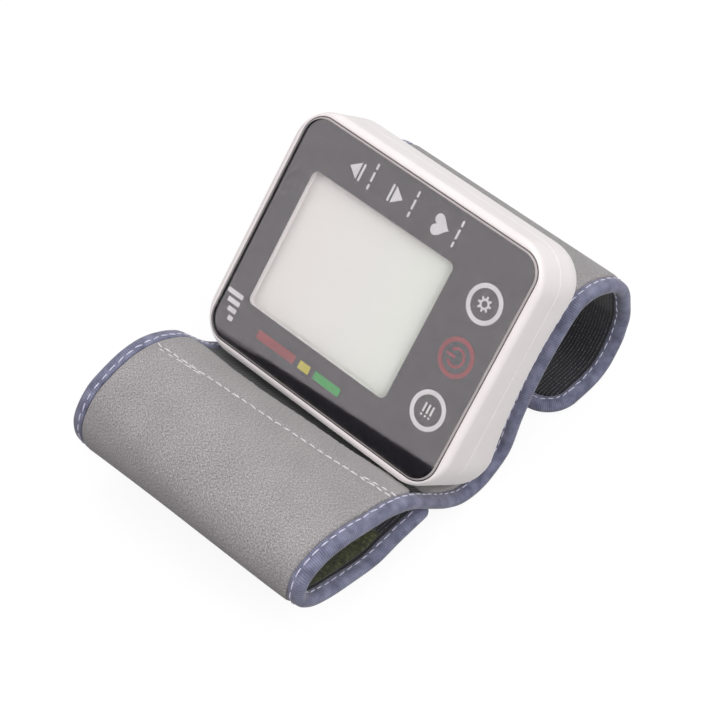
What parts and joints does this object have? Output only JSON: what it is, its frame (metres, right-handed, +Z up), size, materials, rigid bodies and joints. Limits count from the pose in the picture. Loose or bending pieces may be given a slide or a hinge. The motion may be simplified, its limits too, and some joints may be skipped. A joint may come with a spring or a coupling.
{
  "type": "wrist blood pressure monitor",
  "caption": "Small arched plastic case with a glossy touch panel and display window, snapped onto a bound fleece wrist cuff that lies curled in two lobes.",
  "frame": {"origin": "on the table under the middle of the part", "axes": "+X along the strap, from the cuff's left lobe to its free end, across the wrist; +Y along the wrist, towards the top of the display; +Z up. The panel leans back by 44 degrees to -X"},
  "size_m": [0.1134, 0.0746, 0.0614],
  "materials": {
    "shell_plastic": "satin off-white moulded ABS",
    "lens_acrylic": "glossy dark printed acrylic",
    "lcd_glass": "clear glass over a pale grey reflector",
    "frame_plastic": "natural moulded plastic",
    "black_rubber": "matt",
    "black_plastic": "matt",
    "board": "green solder resist",
    "cell_sleeve": "printed sleeve",
    "contact_steel": "nickel plated",
    "spring_steel": "drawn wire",
    "motor_steel": "zinc plated",
    "screw_steel": "zinc plated",
    "silicone": "translucent silicone",
    "fleece_fabric": "short-napped loop fleece",
    "lining_fabric": "fine ribbed nylon",
    "curler_sheet": "springy polypropylene sheet",
    "bladder_rubber": "matt",
    "hook_fabric": "woven hook tape",
    "binding_fabric": "woven polyester tape"
  },
  "bodies": {
    "monitor": {"front_housing": "shell_plastic", "rear_housing": "shell_plastic", "front_lens": "lens_acrylic", "lcd_module": "lcd_glass", "lcd_frame": "frame_plastic", "zebra_strip": "black_rubber", "main_pcb": "board", "controller_chip": "black_plastic", "buzzer": "black_plastic", "battery_tray": "frame_plastic", "aaa_cell_1": "cell_sleeve", "aaa_cell_2": "cell_sleeve", "contact_plate_1": "contact_steel", "contact_plate_2": "contact_steel", "contact_spring_1": "spring_steel", "contact_spring_2": "spring_steel", "pressure_sensor": "black_plastic", "pump_head": "frame_plastic", "pump_motor": "motor_steel", "valve_body": "black_plastic", "air_manifold": "frame_plastic", "air_tube_pump": "silicone", "air_tube_valve": "silicone", "air_tube_cuff": "silicone", "air_tube_sensor": "silicone", "cuff_mount_plate": "frame_plastic", "cuff_nipple": "black_rubber", "cuff_fleece": "fleece_fabric", "cuff_lining": "lining_fabric", "cuff_stiffener": "curler_sheet", "cuff_bladder": "bladder_rubber", "hook_patch": "hook_fabric", "binding_near": "binding_fabric", "binding_far": "binding_fabric", "case_screw_1": "screw_steel", "case_screw_2": "screw_steel", "case_screw_3": "screw_steel", "case_screw_4": "screw_steel", "touch_spring_1": "spring_steel", "touch_spring_2": "spring_steel", "touch_spring_3": "spring_steel"},
    "battery_door": {"battery_door": "shell_plastic"},
    "pump_shaft": {"pump_shaft": "motor_steel"},
    "valve_plunger": {"valve_plunger": "spring_steel"}
  },
  "joints": [
    {"name": "battery_door_slide", "type": "slide", "parent": "monitor", "child": "battery_door", "axis": [0, 1, 0], "range_m": [0, 0.03]},
    {"name": "pump_shaft_spin", "type": "hinge", "parent": "monitor", "child": "pump_shaft", "pos_m": [0.01506, -0.0185, 0.03048], "axis": [0.7193, 0, 0.6947], "continuous": true},
    {"name": "valve_plunger_slide", "type": "slide", "parent": "monitor", "child": "valve_plunger", "axis": [-0.7193, 0, -0.6947], "range_m": [0, 0.0008], "stiffness_N_per_m": 100, "springref_m": -0.001}
  ]
}
